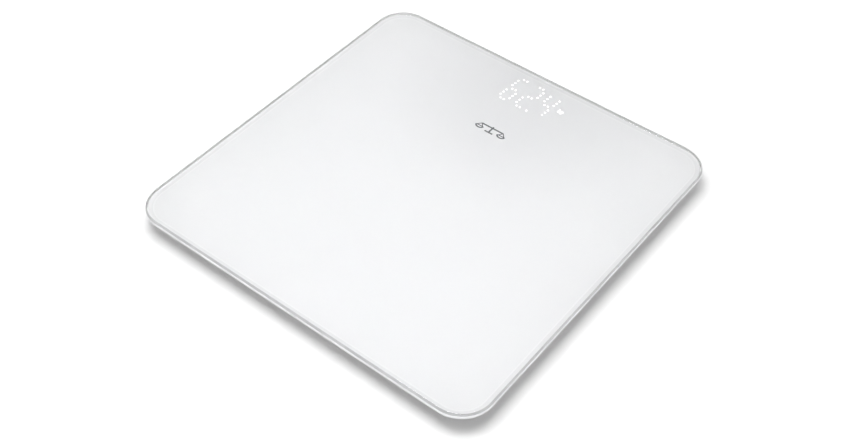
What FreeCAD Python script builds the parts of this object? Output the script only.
import FreeCAD, Part
import math
import os
import Sketcher

# Square glass-topped personal scale with a hidden dot-matrix read-out.
# Millimetres, +Z up, +Y towards the read-out edge, +X along the reading direction.
# The origin is the point of the standing plane under the middle of the glass.

Vector = FreeCAD.Vector
Rotation = FreeCAD.Rotation
ALONG_X = Rotation(Vector(0, 1, 0), 90)

os.makedirs("parts", exist_ok=True)
doc = FreeCAD.newDocument("glass_scale")

DRIVING = {
    # glass plate
    "plate_side": 350.0,
    "glass_thick": 6.0,
    "glass_corner_radius": 28.5,
    "arris": 1.6,
    # print and bonding layers under the glass
    "print_inset": 2.4,
    "film_thick": 0.2,
    "tape_thick": 0.8,
    "pad_radius": 22.0,
    # moulded tray
    "tray_inset": 9.0,
    "tray_wall": 2.6,
    "tray_floor": 2.0,
    "ground_gap": 2.6,
    "tray_bevel": 7.0,
    "rib_thick": 1.6,
    "rib_height": 8.4,
    "side_rib_shift": 1.75,
    "front_rib_inset": 58.0,
    "middle_rib_gap": 21.6,
    # load cells and feet
    "foot_inset": 38.0,
    "foot_radius": 17.5,
    "foot_pad_radius": 16.0,
    "foot_pad_thick": 1.6,
    "foot_flange_width": 2.1,
    "foot_flange_thick": 1.2,
    "foot_travel": 0.5,
    "spigot_radius": 4.0,
    "spigot_reach": 0.9,
    "cell_plate_side": 34.0,
    "cell_plate_thick": 1.5,
    "cell_slot": 2.0,
    "cell_tongue": 14.0,
    "seat_radius": 25.0,
    "seat_cavity": 24.0,
    "seat_roof": 2.0,
    "seat_post": 2.2,
    "collar_width": 2.0,
    "collar_height": 1.1,
    "moving_gap": 0.3,
    "slip_gap": 0.1,
    # batteries (three AAA cells side by side) and their bay
    "battery_length": 44.5,
    "battery_radius": 5.25,
    "battery_nub": 0.8,
    "battery_nub_radius": 1.9,
    "battery_spacing": 0.9,
    "battery_side_gap": 0.35,
    "contact_space": 4.6,
    "contact_thick": 0.4,
    "contact_width": 8.0,
    "bay_wall": 1.4,
    "bay_roof_thick": 0.9,
    "bay_gap": 9.6,
    "door_thick": 1.3,
    "door_lap": 2.3,
    # boards
    "main_board_x": 60.0,
    "main_board_y": 30.0,
    "main_board_gap": 6.5,
    "board_standoff": 5.4,
    "board_thick": 1.6,
    "display_board_x": 101.0,
    "display_board_thick": 1.2,
    "post_radius": 2.6,
    "screw_radius": 1.1,
    "screw_head_radius": 2.2,
    "screw_head": 1.4,
    "screw_length": 5.0,
    # read-out
    "display_inset": 29.7,
    "display_shift_x": -0.7,
    "display_window_x": 86.0,
    "digit_pitch": 17.8,
    "digit_half_width": 5.05,
    "dot_pitch_x": 3.6,
    "dot_pitch_y": 4.1,
    "dot_radius": 1.1,
    "digit_slant_deg": 4.9,
    "mask_height": 4.4,
    "mask_reach": 20.8,
    "led_length": 1.6,
    "led_width": 0.8,
    "led_height": 0.7,
    # unit selector
    "button_place_x": 18.0,
    "button_radius": 4.8,
    "button_flange": 1.4,
    "button_flange_thick": 0.8,
    "button_recess": 0.3,
    "button_travel": 0.5,
    "switch_side": 6.0,
    "switch_height": 3.5,
    "plunger_radius": 1.75,
    # leads
    "lead_radius": 0.9,
    "battery_lead_radius": 0.6,
    "lane_spread": 6.0,
    "side_lane_gap": 25.0,
    "notch_side": 3.2,
}


def make_sheet(name, cells):
    sheet = doc.addObject("Spreadsheet::Sheet", name)
    for row, (alias, content) in enumerate(cells.items(), 1):
        sheet.set(f"A{row}", alias)
        sheet.set(f"B{row}", str(content))
        sheet.setAlias(f"B{row}", alias)
    doc.recompute()
    return sheet


spec = make_sheet("spec", DRIVING)

# Levels and sizes that follow from the driving dimensions.
DERIVED = {
    # plan
    "tray_half": "spec.plate_side / 2 - spec.tray_inset",
    "tray_radius": "spec.glass_corner_radius - spec.tray_inset",
    "cavity_half": "place.tray_half - spec.tray_wall",
    "cavity_radius": "place.tray_radius - spec.tray_wall",
    "cavity_bevel": "spec.tray_bevel - 0.4 * spec.tray_floor",
    "foot_place": "place.tray_half - spec.foot_inset",
    "foot_opening": "spec.foot_radius + spec.moving_gap",
    "flange_radius": "spec.foot_radius + spec.foot_flange_width",
    "display_row_y": "spec.plate_side / 2 - spec.display_inset",
    "mask_back": "place.cavity_half - spec.moving_gap",
    "mask_front": "place.display_row_y - spec.mask_reach",
    "main_board_place_y": "place.mask_front - spec.main_board_gap - spec.main_board_y / 2",
    "back_lane_y": "place.main_board_place_y + spec.lane_spread / 2",
    "front_lane_y": "place.main_board_place_y - spec.lane_spread / 2",
    "battery_pitch": "2 * spec.battery_radius + spec.battery_spacing",
    "bay_half_x": "spec.battery_length / 2 + spec.contact_space / 2 + spec.contact_thick",
    "bay_half_y": "place.battery_pitch + spec.battery_radius + spec.battery_side_gap",
    "bay_back": "place.main_board_place_y - spec.main_board_y / 2 - spec.bay_gap",
    "battery_row_y": "place.bay_back - spec.bay_wall - place.bay_half_y",
    "side_rib_place": "(spec.display_board_x / 2 + place.foot_place - spec.seat_radius) / 2"
                      " - spec.side_rib_shift",
    "front_rib_place": "place.foot_place - spec.front_rib_inset",
    "middle_rib_place": "place.battery_row_y - place.bay_half_y - spec.bay_wall - spec.middle_rib_gap",
    "side_lane_x": "place.side_rib_place + spec.side_lane_gap",
    "button_opening": "spec.button_radius + spec.moving_gap",
    # levels, from the standing plane up
    "floor_level": "spec.ground_gap + spec.tray_floor",
    "door_level": "spec.ground_gap + spec.door_thick + spec.slip_gap",
    "battery_axis": "place.door_level + spec.moving_gap + spec.battery_radius",
    "bay_roof": "place.battery_axis + spec.battery_radius + spec.moving_gap",
    "tray_top": "place.bay_roof + spec.bay_roof_thick",
    "film_level": "place.tray_top + spec.tape_thick",
    "glass_level": "place.film_level + spec.film_thick",
    "flange_level": "place.floor_level + spec.collar_height + spec.moving_gap",
    "spigot_level": "place.flange_level + spec.foot_flange_thick",
    "cell_level": "place.spigot_level + spec.foot_travel + spec.spigot_reach",
    "seat_level": "place.cell_level + spec.cell_plate_thick",
    "main_board_level": "place.floor_level + spec.board_standoff",
    "board_top": "place.main_board_level + spec.board_thick",
    "switch_level": "place.main_board_level - spec.switch_height",
    "mask_top": "place.film_level - spec.slip_gap",
    "mask_level": "place.mask_top - spec.mask_height",
    "display_level": "place.mask_level - spec.display_board_thick",
    "lead_level": "place.floor_level + spec.slip_gap + spec.lead_radius",
}

place = make_sheet("place", {name: "=" + rule.replace("place.", "") for name, rule in DERIVED.items()})


def size(alias):
    """A driving or a derived dimension as a number."""
    return float((place if alias in DERIVED else spec).get(alias))


def bind(thing, **formulas):
    for prop, formula in formulas.items():
        thing.setExpression(prop.replace("__", "."), str(formula))


def put(thing, x, y, z):
    bind(thing, Placement__Base__x=x, Placement__Base__y=y, Placement__Base__z=z)


def box(name, low, extent):
    """A block from its low corner, with every size a formula."""
    block = doc.addObject("Part::Box", name)
    bind(block, Length=extent[0], Width=extent[1], Height=extent[2])
    put(block, *low)
    return block


def centred_box(name, middle, extent):
    """A block given by the middle of its underside."""
    low = (f"{middle[0]} - ({extent[0]}) / 2", f"{middle[1]} - ({extent[1]}) / 2", middle[2])
    return box(name, low, extent)


def cylinder(name, foot, radius, height, rotation=None):
    rod = doc.addObject("Part::Cylinder", name)
    bind(rod, Radius=radius, Height=height)
    if rotation:
        rod.Placement = FreeCAD.Placement(Vector(), rotation)
    put(rod, *foot)
    return rod


def fuse(name, pieces):
    joined = doc.addObject("Part::MultiFuse", name)
    joined.Shapes = pieces
    joined.Refine = True
    return joined


def cut(name, base, *tools):
    result = doc.addObject("Part::Cut", name)
    result.Base = base
    result.Tool = tools[0] if len(tools) == 1 else fuse(f"{name}_tools", list(tools))
    result.Refine = True
    return result


def common(name, first, second):
    result = doc.addObject("Part::Common", name)
    result.Base = first
    result.Tool = second
    return result


def group(name, pieces):
    """Separate solids that share one node."""
    together = doc.addObject("Part::Compound", name)
    together.Links = pieces
    return together


def origin_plane(body, role):
    return next(plane for plane in body.Origin.OriginFeatures if plane.Role == role)


def new_sketch(body, name, role="XY_Plane"):
    sketch = body.newObject("Sketcher::SketchObject", name)
    sketch.AttachmentSupport = [(origin_plane(body, role), "")]
    sketch.MapMode = "FlatFace"
    return sketch


def rounded_square(sketch, half, radius):
    """A square centred on the sketch's origin with four equal round corners."""
    far, bend = 100.0, 10.0
    near = far - bend
    first = sketch.GeometryCount
    corners = [(1, 1), (-1, 1), (-1, -1), (1, -1)]
    for index, (sx, sy) in enumerate(corners):
        tx, ty = corners[(index + 1) % 4]
        if sy == ty:
            start, end = Vector(sx * near, sy * far), Vector(tx * near, ty * far)
        else:
            start, end = Vector(sx * far, sy * near), Vector(tx * far, ty * near)
        sketch.addGeometry(Part.LineSegment(start, end))
    for index, (sx, sy) in enumerate(corners):
        circle = Part.Circle(Vector(sx * near, sy * near), Vector(0, 0, 1), bend)
        begin = index * math.pi / 2
        sketch.addGeometry(Part.ArcOfCircle(circle, begin, begin + math.pi / 2))
    # line `index` runs from corner `index` to the next; arc `index` rounds corner `index`
    for index in range(4):
        line, arc, before = first + index, first + 4 + index, first + (index - 1) % 4
        sketch.addConstraint(Sketcher.Constraint("Tangent", arc, 2, line, 1))
        sketch.addConstraint(Sketcher.Constraint("Tangent", before, 2, arc, 1))
        way = "Horizontal" if index % 2 == 0 else "Vertical"
        sketch.addConstraint(Sketcher.Constraint(way, line))
        if index:
            sketch.addConstraint(Sketcher.Constraint("Equal", first + 4, arc))
    dimensions = [
        Sketcher.Constraint("Radius", first + 4, bend),
        Sketcher.Constraint("DistanceY", -1, 1, first, 1, far),
        Sketcher.Constraint("DistanceX", first + 1, 1, -1, 1, far),
        Sketcher.Constraint("DistanceY", first + 2, 1, -1, 1, far),
        Sketcher.Constraint("DistanceX", -1, 1, first + 3, 1, far),
    ]
    for number, constraint in enumerate(dimensions):
        index = sketch.addConstraint(constraint)
        sketch.setExpression(f"Constraints[{index}]", radius if number == 0 else half)


def slab(name, level, thick, *outlines):
    """A body padded from one rounded square, or from two as a ring."""
    body = doc.addObject("PartDesign::Body", name)
    sketch = new_sketch(body, f"{name}_outline")
    for half, radius in outlines:
        rounded_square(sketch, half, radius)
    pad = body.newObject("PartDesign::Pad", f"{name}_pad")
    pad.Profile = sketch
    sketch.Visibility = False
    bind(pad, Length=thick)
    put(body, 0, 0, level)
    doc.recompute()
    return body


def chamfer_ends(body, amount, ends):
    """Chamfers all edges of a body's lowest (-1) or highest (+1) flat faces."""
    pad = body.Tip
    faces = []
    for end in ends:
        flat = [
            (end * face.CenterOfMass.z, f"Face{number}")
            for number, face in enumerate(pad.Shape.Faces, 1)
            if abs(face.normalAt(0, 0).z) > 0.99
        ]
        faces.append(max(flat)[1])
    chamfer = body.newObject("PartDesign::Chamfer", f"{body.Name}_chamfer")
    chamfer.Base = (pad, faces)
    bind(chamfer, Size=amount)
    body.Tip = chamfer
    doc.recompute()
    return body


def feature(name, shape):
    made = doc.addObject("Part::Feature", name)
    made.Shape = shape
    return made


def routed_tube(name, points, radius):
    """A lead along straight runs joined by tangent arcs as large as the runs allow."""
    edges = []
    here = points[0]
    for before, corner, after in zip(points, points[1:], points[2:]):
        into, out = corner - before, after - corner
        reach = 0.45 * min(into.Length, out.Length)
        into.normalize()
        out.normalize()
        start, end = corner - into * reach, corner + out * reach
        inward = out - into
        inward.normalize()
        half_turn = into.getAngle(out) / 2
        bend = reach / math.tan(half_turn)
        middle = corner + inward * (bend / math.cos(half_turn) - bend)
        edges.append(Part.LineSegment(here, start).toShape())
        edges.append(Part.Arc(start, middle, end).toShape())
        here = end
        print(name, "bend radius", round(bend, 1))
    edges.append(Part.LineSegment(here, points[-1]).toShape())
    route = Part.Wire(edges)
    section = Part.Wire(Part.makeCircle(radius, points[0], points[1] - points[0]))
    tube = route.makePipeShell([section], True, False)
    expected = math.pi * radius**2 * route.Length
    if abs(tube.Volume / expected - 1) > 0.01:
        raise RuntimeError(f"{name}: tube volume {tube.Volume} is not {expected}")
    return feature(name, tube)


def hole_grid(name, spots, level, radius, depth):
    """Upright cylinders at several spots, as one tool or one group."""
    rods = [
        cylinder(f"{name}_{number}", (x, y, level), radius, depth)
        for number, (x, y) in enumerate(spots, 1)
    ]
    return rods


# ---------------------------------------------------------------- glass and bonding
def make_glass():
    glass = slab(
        "glass_platform", "place.glass_level", "spec.glass_thick",
        ("spec.plate_side / 2", "spec.glass_corner_radius"),
    )
    return chamfer_ends(glass, "spec.arris", (-1, 1))


def make_back_film():
    return slab(
        "back_film", "place.film_level", "spec.film_thick",
        ("spec.plate_side / 2 - spec.print_inset", "spec.glass_corner_radius - spec.print_inset"),
    )


def make_rim_tape():
    return slab(
        "rim_tape", "place.tray_top", "spec.tape_thick",
        ("place.tray_half", "place.tray_radius"), ("place.cavity_half", "place.cavity_radius"),
    )


# ---------------------------------------------------------------- tray
MAIN_POSTS = [
    (f"{sx} * (spec.main_board_x / 2 - 3)",
     f"place.main_board_place_y + {sy} * (spec.main_board_y / 2 - 3)")
    for sx in (-1, 1) for sy in (-1, 1)
]
DISPLAY_POSTS = [
    (f"{sx} * (spec.display_board_x / 2 - 3.8)", f"place.display_row_y + {sy} * 13")
    for sx in (-1, 1) for sy in (-1, 1)
]
CORNERS = {
    "back_left": (-1, 1, 0),
    "back_right": (1, 1, 180),
    "front_left": (-1, -1, 90),
    "front_right": (1, -1, 90),
}


def corner_place(sx, sy):
    return f"{sx} * place.foot_place", f"{sy} * place.foot_place"


def make_tray_ribs(outer):
    span = "2 * place.tray_half"
    level, height = "place.floor_level - 0.5", "spec.rib_height + 0.5"
    ribs = [
        centred_box(f"side_rib_{n}", (f"{sx} * place.side_rib_place", "0", level),
                    ("spec.rib_thick", span, height))
        for n, sx in enumerate((-1, 1))
    ]
    for name, y in (("front", "-place.front_rib_place"), ("middle", "place.middle_rib_place")):
        ribs.append(centred_box(f"{name}_rib", ("0", y, level), (span, "spec.rib_thick", height)))
    notch = ("spec.notch_side", "spec.notch_side", "spec.notch_side")
    spots = [
        (f"{sx} * place.{x}", y)
        for sx in (-1, 1)
        for x, y in (
            ("side_rib_place", "place.back_lane_y"),
            ("side_rib_place", "place.front_lane_y"),
            ("side_lane_x", "-place.front_rib_place"),
            ("side_lane_x", "place.middle_rib_place"),
        )
    ]
    notches = [
        centred_box(f"rib_notch_{n}", (x, y, "place.floor_level"), notch)
        for n, (x, y) in enumerate(spots)
    ]
    clipped = common("ribs_in_tray", fuse("ribs", ribs), outer)
    return cut("notched_ribs", clipped, *notches)


def make_seat_posts():
    """Four short posts under the corners of each load-cell plate, clear of the foot's flange."""
    reach = "((place.flange_radius + spec.moving_gap) / sqrt(2) + spec.seat_post / 2)"
    height = "place.cell_level - place.floor_level + 0.5"
    return [
        centred_box(
            f"seat_post_{corner}_{px}_{py}",
            (f"{sx} * place.foot_place + {px} * {reach}", f"{sy} * place.foot_place + {py} * {reach}",
             "place.floor_level - 0.5"),
            ("spec.seat_post", "spec.seat_post", height),
        )
        for corner, (sx, sy, _) in enumerate(CORNERS.values())
        for px in (-1, 1) for py in (-1, 1)
    ]


def make_board_posts():
    posts = []
    for name, spots, top in (
        ("main_post", MAIN_POSTS, "place.main_board_level"),
        ("display_post", DISPLAY_POSTS, "place.display_level"),
    ):
        level = "place.floor_level - 0.5"
        posts += hole_grid(name, spots, level, "spec.post_radius", f"{top} - ({level})")
    return posts


def make_battery_bay():
    """Outside of the bay, from the tray floor up to the tray's top."""
    return centred_box(
        "bay_outside", ("0", "place.battery_row_y", "place.floor_level - 0.5"),
        ("2 * place.bay_half_x + 2 * spec.bay_wall", "2 * place.bay_half_y + 2 * spec.bay_wall",
         "place.tray_top - place.floor_level + 0.5"),
    )


def make_bay_cutters():
    """The bay's inside, the door's recess and the slots for two contact tabs."""
    inside = centred_box(
        "bay_inside", ("0", "place.battery_row_y", "spec.ground_gap - 1"),
        ("2 * place.bay_half_x", "2 * place.bay_half_y", "place.bay_roof - spec.ground_gap + 1"),
    )
    recess = centred_box(
        "door_recess", ("0", "place.battery_row_y", "spec.ground_gap - 1"),
        ("2 * (place.bay_half_x + spec.door_lap)", "2 * (place.bay_half_y + spec.door_lap)",
         "place.door_level - spec.ground_gap + 1"),
    )
    slots = [
        centred_box(
            f"tab_slot_{n}",
            (f"{sx} * (place.bay_half_x + spec.bay_wall / 2)",
             f"place.battery_row_y + {row} * place.battery_pitch", "place.battery_axis - 1"),
            ("spec.bay_wall + 1", "3.6", "1.2"),
        )
        for n, (sx, row) in enumerate(((1, 1), (-1, -1)))
    ]
    return [inside, recess] + slots


def make_base_tray():
    outer = slab(
        "tray_outside", "spec.ground_gap", "place.tray_top - spec.ground_gap",
        ("place.tray_half", "place.tray_radius"),
    )
    chamfer_ends(outer, "spec.tray_bevel", (-1,))
    cavity = slab(
        "tray_cavity", "place.floor_level", "place.tray_top - place.floor_level + 1",
        ("place.cavity_half", "place.cavity_radius"),
    )
    chamfer_ends(cavity, "place.cavity_bevel", (-1,))
    shell = cut("tray_shell", outer, cavity)
    collars = [
        cylinder(f"foot_collar_{n}", (*corner_place(sx, sy), "place.floor_level - 0.5"),
                 "place.foot_opening + spec.collar_width", "spec.collar_height + 0.5")
        for n, (sx, sy, _) in enumerate(CORNERS.values())
    ]
    solid = fuse(
        "tray_filled",
        [shell, make_tray_ribs(outer), make_battery_bay()]
        + collars + make_seat_posts() + make_board_posts(),
    )
    cutters = [
        cylinder(f"foot_hole_{n}", (*corner_place(sx, sy), "0"), "place.foot_opening", "10")
        for n, (sx, sy, _) in enumerate(CORNERS.values())
    ]
    cutters.append(cylinder(
        "button_hole", ("spec.button_place_x", "place.main_board_place_y", "0"),
        "place.button_opening", "place.floor_level + 1"))
    for name, spots, top in (
        ("main_pilot", MAIN_POSTS, "place.main_board_level"),
        ("display_pilot", DISPLAY_POSTS, "place.display_level"),
    ):
        cutters += hole_grid(name, spots, f"{top} - spec.screw_length",
                             "spec.screw_radius + 0.05", "spec.screw_length + 1")
    return cut("base_tray", solid, *cutters, *make_bay_cutters())


# ---------------------------------------------------------------- corner sets
def turn(thing, sx, sy, angle, level):
    """Stands a piece made about its own origin at one corner."""
    thing.Placement = FreeCAD.Placement(Vector(), Rotation(Vector(0, 0, 1), angle))
    put(thing, *corner_place(sx, sy), level)
    return thing


def make_foot_pad(corner, sx, sy):
    disc = cylinder(f"pad_disc_{corner}", ("0", "0", "0"), "spec.foot_pad_radius", "spec.foot_pad_thick")
    groove = cut(
        f"pad_groove_{corner}",
        cylinder(f"groove_out_{corner}", ("0", "0", "-1"), "spec.foot_pad_radius - 4", "1.5"),
        cylinder(f"groove_in_{corner}", ("0", "0", "-1"), "spec.foot_pad_radius - 5.5", "1.5"),
    )
    return turn(cut(f"foot_pad_{corner}", disc, groove), sx, sy, 0, "0")


def make_foot_cap(corner, sx, sy):
    drum = cylinder(f"cap_drum_{corner}", ("0", "0", "0"), "spec.foot_radius",
                    "place.spigot_level - spec.foot_pad_thick")
    flange = cylinder(f"cap_flange_{corner}", ("0", "0", "place.flange_level - spec.foot_pad_thick"),
                      "place.flange_radius", "spec.foot_flange_thick")
    spigot = cylinder(f"cap_spigot_{corner}", ("0", "0", "0"), "spec.spigot_radius",
                      "place.cell_level - spec.slip_gap - spec.foot_pad_thick")
    cap = fuse(f"foot_cap_{corner}", [drum, flange, spigot])
    return turn(cap, sx, sy, 0, "spec.foot_pad_thick")


def make_load_cell(corner, sx, sy, angle):
    """A square steel plate with a U-shaped slot that leaves a tongue in the middle."""
    plate = centred_box(f"cell_blank_{corner}", ("0", "0", "0"),
                        ("spec.cell_plate_side", "spec.cell_plate_side", "spec.cell_plate_thick"))
    depth = "spec.cell_plate_thick + 2"
    sides = [
        centred_box(
            f"cell_side_slot_{corner}_{n}",
            ("-1", f"{side} * (spec.cell_tongue + spec.cell_slot) / 2", "-1"),
            ("18", "spec.cell_slot", depth),
        )
        for n, side in enumerate((-1, 1))
    ]
    end = centred_box(f"cell_end_slot_{corner}", ("-9", "0", "-1"),
                      ("spec.cell_slot", "spec.cell_tongue + 2 * spec.cell_slot", depth))
    return turn(cut(f"load_cell_{corner}", plate, end, *sides), sx, sy, angle, "place.cell_level")


def make_cell_seat(corner, sx, sy, angle):
    """Plastic seat that carries the glass on the load cell's outer frame."""
    height = "(place.tray_top - place.seat_level)"
    drum = cylinder(f"seat_drum_{corner}", ("0", "0", "0"), "spec.seat_radius", height)
    cavity = centred_box(f"seat_cavity_{corner}", ("0", "0", "-1"),
                         ("spec.seat_cavity", "spec.seat_cavity", f"{height} - spec.seat_roof + 1"))
    channel = box(f"seat_channel_{corner}", ("0", "-1.5 * spec.lead_radius", "-1"),
                  ("spec.seat_radius + 1", "3 * spec.lead_radius", "1 + 3 * spec.lead_radius"))
    return turn(cut(f"cell_seat_{corner}", drum, cavity, channel), sx, sy, angle, "place.seat_level")


def make_strain_gauges(corner, sx, sy, angle):
    foils = [
        centred_box(f"gauge_foil_{corner}_{n}", ("4.5", f"{side} * 3.2", "0"), ("6", "4", "0.2"))
        for n, side in enumerate((-1, 1))
    ]
    return turn(group(f"strain_gauges_{corner}", foils), sx, sy, angle, "place.seat_level")


def make_adhesive_pad(corner, sx, sy):
    pad = cylinder(f"adhesive_pad_{corner}", ("0", "0", "0"), "spec.pad_radius", "spec.tape_thick")
    return turn(pad, sx, sy, 0, "place.tray_top")


def make_cell_lead(corner, sx, sy, angle):
    """Sleeved lead from a load cell to the main board's socket, lying in the rib notches."""
    foot = size("foot_place")
    gauge_level = size("seat_level") + size("slip_gap") + size("lead_radius")
    floor_level = size("lead_level")
    socket_level = size("board_top") + 1.5
    out, clear = 8.5, size("seat_radius") + 4
    edge = size("main_board_x") / 2
    lane = size("back_lane_y") if sy > 0 else size("front_lane_y")
    beside_rib = size("side_rib_place") + 12
    if sy > 0:
        landing = beside_rib + (foot - clear - beside_rib) / 4
        route = [
            (foot - out, foot, gauge_level), (foot - clear, foot, gauge_level),
            (landing, foot - 4, floor_level), (beside_rib, lane, floor_level),
        ]
    else:
        side = size("side_lane_x")
        route = [
            (foot, out - foot, gauge_level), (foot, clear - foot, gauge_level),
            (foot - 6, clear - foot + 9, floor_level), (side, -size("front_rib_place") - 9, floor_level),
            (side, lane - 13, floor_level), (beside_rib, lane, floor_level),
        ]
    route += [(edge + 20, lane, floor_level), (edge + 11, lane, socket_level), (edge, lane, socket_level)]
    points = [Vector(sx * x, y, z) for x, y, z in route]
    return routed_tube(f"cell_lead_{corner}", points, size("lead_radius"))


# ---------------------------------------------------------------- batteries
def battery_y(row):
    return f"place.battery_row_y + {row} * place.battery_pitch"


def make_battery_cell(number, row, plus):
    """One AAA cell along X, its plus end towards +X or -X."""
    level = "place.battery_axis"
    tip = "(place.bay_half_x - spec.contact_thick)"
    can_start = f"{tip} - spec.battery_length" if plus > 0 else f"-{tip} + spec.battery_nub"
    nub_start = f"{tip} - spec.battery_nub - 1" if plus > 0 else f"-{tip}"
    can = cylinder(f"battery_can_{number}", (can_start, battery_y(row), level),
                   "spec.battery_radius", "spec.battery_length - spec.battery_nub", ALONG_X)
    nub = cylinder(f"battery_nub_{number}", (nub_start, battery_y(row), level),
                   "spec.battery_nub_radius", "spec.battery_nub + 1", ALONG_X)
    return fuse(f"battery_cell_{number}", [can, nub])


def make_battery_plates():
    """Nickel-plated end plates: two single ones with a solder tab, two that link a pair."""
    height = "2 * spec.battery_radius - 1.5"
    level = "place.battery_axis - spec.battery_radius + 0.75"
    plates = []
    for sx, tab_row in ((1, 1), (-1, -1)):
        x = f"{sx} * (place.bay_half_x - spec.contact_thick / 2)"
        single = centred_box(f"end_plate_{tab_row}", (x, battery_y(tab_row), level),
                             ("spec.contact_thick", "spec.contact_width", height))
        tab = centred_box(
            f"solder_tab_{tab_row}",
            (f"{sx} * (place.bay_half_x - spec.contact_thick + 2)", battery_y(tab_row),
             "place.battery_axis - 0.6"),
            ("4", "3", "spec.contact_thick"))
        linked = centred_box(
            f"link_plate_{tab_row}", (x, battery_y(f"(-{tab_row} / 2)"), level),
            ("spec.contact_thick", "place.battery_pitch + spec.contact_width", height))
        plates += [fuse(f"terminal_plate_{tab_row}", [single, tab]), linked]
    return group("battery_plates", plates)


def make_battery_springs():
    """Bent leaf springs at the minus ends, drawn as they lie pressed by the cells."""
    reach, width = size("contact_space") - 0.05, 5.0
    bow = [
        (0, -4), (reach, -1), (reach, 1), (0.5, 4),
        (0.1, 3.8), (reach - 0.4, 0.85), (reach - 0.4, -0.85), (0, -3.45),
    ]
    springs = []
    for row, side in ((-1, -1), (0, 1), (1, -1)):
        root = side * (size("bay_half_x") - size("contact_thick"))
        front = size("battery_row_y") + row * size("battery_pitch") - width / 2
        axis = size("battery_axis")
        outline = Part.makePolygon(
            [Vector(root - side * out, front, axis + up) for out, up in bow + bow[:1]])
        springs.append(Part.Face(outline).extrude(Vector(0, width, 0)))
    return feature("battery_springs", Part.makeCompound(springs))


def make_battery_door():
    """Flush door with a slit that frees a latch tongue, and three grip grooves."""
    length = "2 * (place.bay_half_x + spec.door_lap - spec.moving_gap)"
    width = "2 * (place.bay_half_y + spec.door_lap - spec.moving_gap)"
    plate = centred_box("door_plate", ("0", "place.battery_row_y", "spec.ground_gap"),
                        (length, width, "spec.door_thick"))
    edge = f"place.battery_row_y - ({width}) / 2"
    cutters = [
        centred_box(f"latch_slit_{n}", (x, f"{edge} + 4", "0"), ("0.8", "10", "10"))
        for n, x in enumerate(("-7", "7"))
    ]
    cutters += [
        centred_box(f"grip_groove_{n}", ("0", f"{edge} + {3 + 2 * n}", "spec.ground_gap - 1"),
                    ("10", "0.8", "1.4"))
        for n in range(3)
    ]
    return cut("battery_door", plate, *cutters)


def make_battery_lead(name, sx, row):
    level = size("battery_axis") - 0.6 + size("contact_thick") + size("battery_lead_radius")
    tab_x = size("bay_half_x") + size("bay_wall") + 1.2
    start_y = size("battery_row_y") + row * size("battery_pitch")
    bay_end = size("battery_row_y") + size("bay_half_y") + size("bay_wall") + 3
    board_edge = size("main_board_place_y") - size("main_board_y") / 2
    top = size("board_top") + size("battery_lead_radius") + size("slip_gap")
    points = [
        Vector(sx * tab_x, start_y, level), Vector(sx * tab_x, bay_end, level),
        Vector(sx * (tab_x - 6), board_edge - 1.5, top), Vector(sx * (tab_x - 6), board_edge + 6, top),
    ]
    return routed_tube(name, points, size("battery_lead_radius"))


# ---------------------------------------------------------------- boards
def make_board(name, x, y, middle_y, level, thick, spots):
    blank = centred_box(f"{name}_blank", ("0", middle_y, level), (x, y, thick))
    holes = hole_grid(f"{name}_hole", spots, f"{level} - 1", "spec.screw_radius + 0.3", f"{thick} + 2")
    return cut(name, blank, *holes)


def make_boards():
    main = make_board(
        "main_board", "spec.main_board_x", "spec.main_board_y", "place.main_board_place_y",
        "place.main_board_level", "spec.board_thick", MAIN_POSTS)
    display = make_board(
        "display_board", "spec.display_board_x", "place.mask_back - place.mask_front",
        "(place.mask_back + place.mask_front) / 2", "place.display_level",
        "spec.display_board_thick", DISPLAY_POSTS)
    return [main, display]


def make_board_screws():
    screws = []
    for name, spots, board_top in (
        ("main_screw", MAIN_POSTS, "place.board_top"),
        ("display_screw", DISPLAY_POSTS, "place.mask_level"),
    ):
        for number, (x, y) in enumerate(spots):
            shank = cylinder(f"{name}_shank_{number}", (x, y, f"{board_top} - spec.screw_length"),
                             "spec.screw_radius", "spec.screw_length")
            head = cylinder(f"{name}_head_{number}", (x, y, board_top),
                            "spec.screw_head_radius", "spec.screw_head")
            slot = [
                centred_box(f"{name}_slot_{number}_{way}",
                            (x, y, f"{board_top} + spec.screw_head - 0.7"), extent)
                for way, extent in enumerate((("2.6", "0.6", "1"), ("0.6", "2.6", "1")))
            ]
            screws.append(cut(f"{name}_{number}", fuse(f"{name}_blank_{number}", [shank, head]), *slot))
    return group("board_screws", screws)


def make_controller_chip():
    return centred_box("controller_chip", ("-4", "place.main_board_place_y - 2", "place.board_top"),
                       ("10", "10", "1.2"))


def make_board_components():
    """Small chip parts, a crystal and one capacitor on the main board."""
    middle_y = "place.main_board_place_y"
    parts = [
        centred_box(f"chip_part_{n}", (f"{-18 + 4 * n}", f"{middle_y} + 8", "place.board_top"),
                    ("2", "1.2", "0.6"))
        for n in range(4)
    ]
    parts += [
        centred_box(f"side_part_{n}", ("-15", f"{middle_y} - {8 - 4 * n}", "place.board_top"),
                    ("1.2", "2", "0.6"))
        for n in range(3)
    ]
    parts.append(centred_box("crystal", ("8", f"{middle_y} + 5", "place.board_top"), ("8", "3.4", "2")))
    parts.append(cylinder("capacitor", ("10", f"{middle_y} - 6", "place.board_top"), "2", "3.4"))
    return group("board_components", parts)


def make_lead_connectors():
    lane = "(place.back_lane_y + place.front_lane_y) / 2"
    return group("lead_connectors", [
        centred_box(f"connector_{n}", (f"{sx} * (spec.main_board_x / 2 - 3)", lane, "place.board_top"),
                    ("6", "place.back_lane_y - place.front_lane_y + 5", "3"))
        for n, sx in enumerate((-1, 1))
    ])


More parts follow.
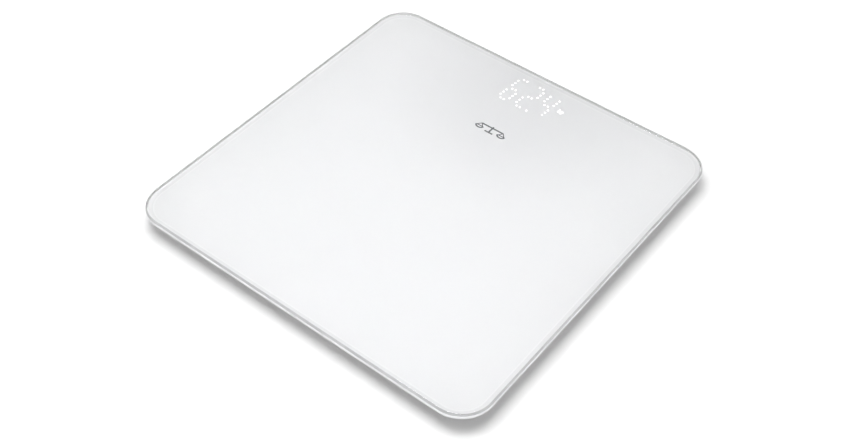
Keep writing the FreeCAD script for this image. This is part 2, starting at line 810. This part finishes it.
def make_display_ribbon():
    """Flat cable from the top of the main board to the underside of the display board."""
    thick, half_width = 0.3, 6.0
    board_end = size("main_board_place_y") + size("main_board_y") / 2
    high, low = size("board_top"), size("display_level") - thick
    start, end = board_end - 5, size("mask_front") + 6
    drop, land = board_end + 0.6, size("mask_front") - 0.4
    under = [(start, high), (drop, high), (land, low), (end, low)]
    over = [(y, z + thick) for y, z in reversed(under)]
    outline = Part.makePolygon([Vector(-half_width, y, z) for y, z in under + over + under[:1]])
    return feature("display_ribbon", Part.Face(outline).extrude(Vector(2 * half_width, 0, 0)))


# ---------------------------------------------------------------- read-out
def dot_places():
    """Every dot of four slanted seven-segment digits, and the decimal dot."""
    half, step_y = size("digit_half_width"), size("dot_pitch_y")
    lean = math.tan(math.radians(size("digit_slant_deg")))
    columns = [-half, half]
    digit = [(x, side * n * step_y) for x in columns for side in (-1, 1) for n in (1, 2, 3)]
    digit += [(x * size("dot_pitch_x") / 2, row * 4 * step_y) for x in (-1, 1) for row in (-1, 0, 1)]
    middles = [(n - 2) * size("digit_pitch") + size("digit_half_width") - 2 for n in range(4)]
    dots = [(middle + x, y) for middle in middles for x, y in digit]
    dots.append(((middles[2] + middles[3]) / 2, -4 * step_y))
    shift, row_y = size("display_shift_x"), size("display_row_y")
    return [(shift + x + y * lean, row_y + y) for x, y in dots]


def unit_windows():
    """Lit windows for the three unit signs, right of the digits: middle and size."""
    x = size("display_shift_x") + 35
    return [(x, size("display_row_y") + row * 12.0, 7.0, 6.0) for row in (-1, 0, 1)]


def make_light_mask():
    low, high = size("mask_level"), size("mask_top")
    front, back = size("mask_front"), size("mask_back")
    width = size("display_window_x")
    block = Part.makeBox(width, back - front, high - low, Vector(-width / 2, front, low))
    holes = [
        Part.makeCylinder(size("dot_radius"), high - low + 2, Vector(x, y, low - 1))
        for x, y in dot_places()
    ]
    holes += [
        Part.makeBox(wide, tall, high - low + 2, Vector(x - wide / 2, y - tall / 2, low - 1))
        for x, y, wide, tall in unit_windows()
    ]
    return feature("light_mask", block.cut(Part.makeCompound(holes)))


def make_display_leds():
    length, width, height = size("led_length"), size("led_width"), size("led_height")
    level = size("mask_level")
    spots = dot_places() + [(x, y) for x, y, _, _ in unit_windows()]
    leds = [
        Part.makeBox(length, width, height, Vector(x - length / 2, y - width / 2, level))
        for x, y in spots
    ]
    return feature("display_leds", Part.makeCompound(leds))


# ---------------------------------------------------------------- unit selector
def make_unit_button():
    x, y = "spec.button_place_x", "place.main_board_place_y"
    level = "spec.ground_gap + spec.button_recess"
    flange_level = "place.floor_level + spec.slip_gap"
    stem = cylinder("button_stem", (x, y, level), "spec.button_radius",
                    f"{flange_level} - ({level}) + 0.4")
    flange = cylinder("button_flange", (x, y, flange_level), "spec.button_radius + spec.button_flange",
                      "spec.button_flange_thick")
    return fuse("unit_button", [stem, flange])


def make_switch():
    x, y = "spec.button_place_x", "place.main_board_place_y"
    housing = centred_box("switch_housing", (x, y, "place.switch_level"),
                          ("spec.switch_side", "spec.switch_side", "spec.switch_height"))
    well = cylinder("switch_well", (x, y, "place.switch_level - 1"), "spec.plunger_radius + 0.3",
                    "spec.switch_height - 0.5")
    button_top = "place.floor_level + spec.slip_gap + spec.button_flange_thick"
    plunger = cylinder("switch_plunger", (x, y, button_top), "spec.plunger_radius",
                       f"place.switch_level - ({button_top}) + spec.button_travel + spec.moving_gap")
    return [cut("tact_switch", housing, well), plunger]


# ---------------------------------------------------------------- the whole scale
def make_all():
    pieces = [make_glass(), make_back_film(), make_rim_tape(), make_base_tray()]
    for corner, (sx, sy, angle) in CORNERS.items():
        pieces += [
            make_foot_pad(corner, sx, sy), make_foot_cap(corner, sx, sy),
            make_load_cell(corner, sx, sy, angle), make_cell_seat(corner, sx, sy, angle),
            make_strain_gauges(corner, sx, sy, angle), make_adhesive_pad(corner, sx, sy),
            make_cell_lead(corner, sx, sy, angle),
        ]
    pieces += [make_battery_cell(n, row, plus) for n, row, plus in ((1, -1, 1), (2, 0, -1), (3, 1, 1))]
    pieces += [make_battery_plates(), make_battery_springs(), make_battery_door()]
    pieces += [
        make_battery_lead("battery_lead_positive", 1, 1),
        make_battery_lead("battery_lead_negative", -1, -1),
    ]
    pieces += make_boards() + [make_board_screws(), make_controller_chip()]
    pieces += [make_board_components(), make_lead_connectors(), make_display_ribbon()]
    pieces += [make_light_mask(), make_display_leds(), make_unit_button()] + make_switch()
    return pieces


nodes = make_all()
doc.recompute()

for thing in doc.Objects:
    if "Invalid" in thing.State or "Error" in thing.State:
        raise RuntimeError(f"{thing.Label} failed: {thing.State}")
for node in nodes:
    if node.Shape.isNull() or not node.Shape.isValid():
        raise RuntimeError(f"{node.Label} has no valid shape")
for node in nodes:
    node.Shape.exportStep(f"parts/{node.Label}.step")
print(len(nodes), "nodes written")
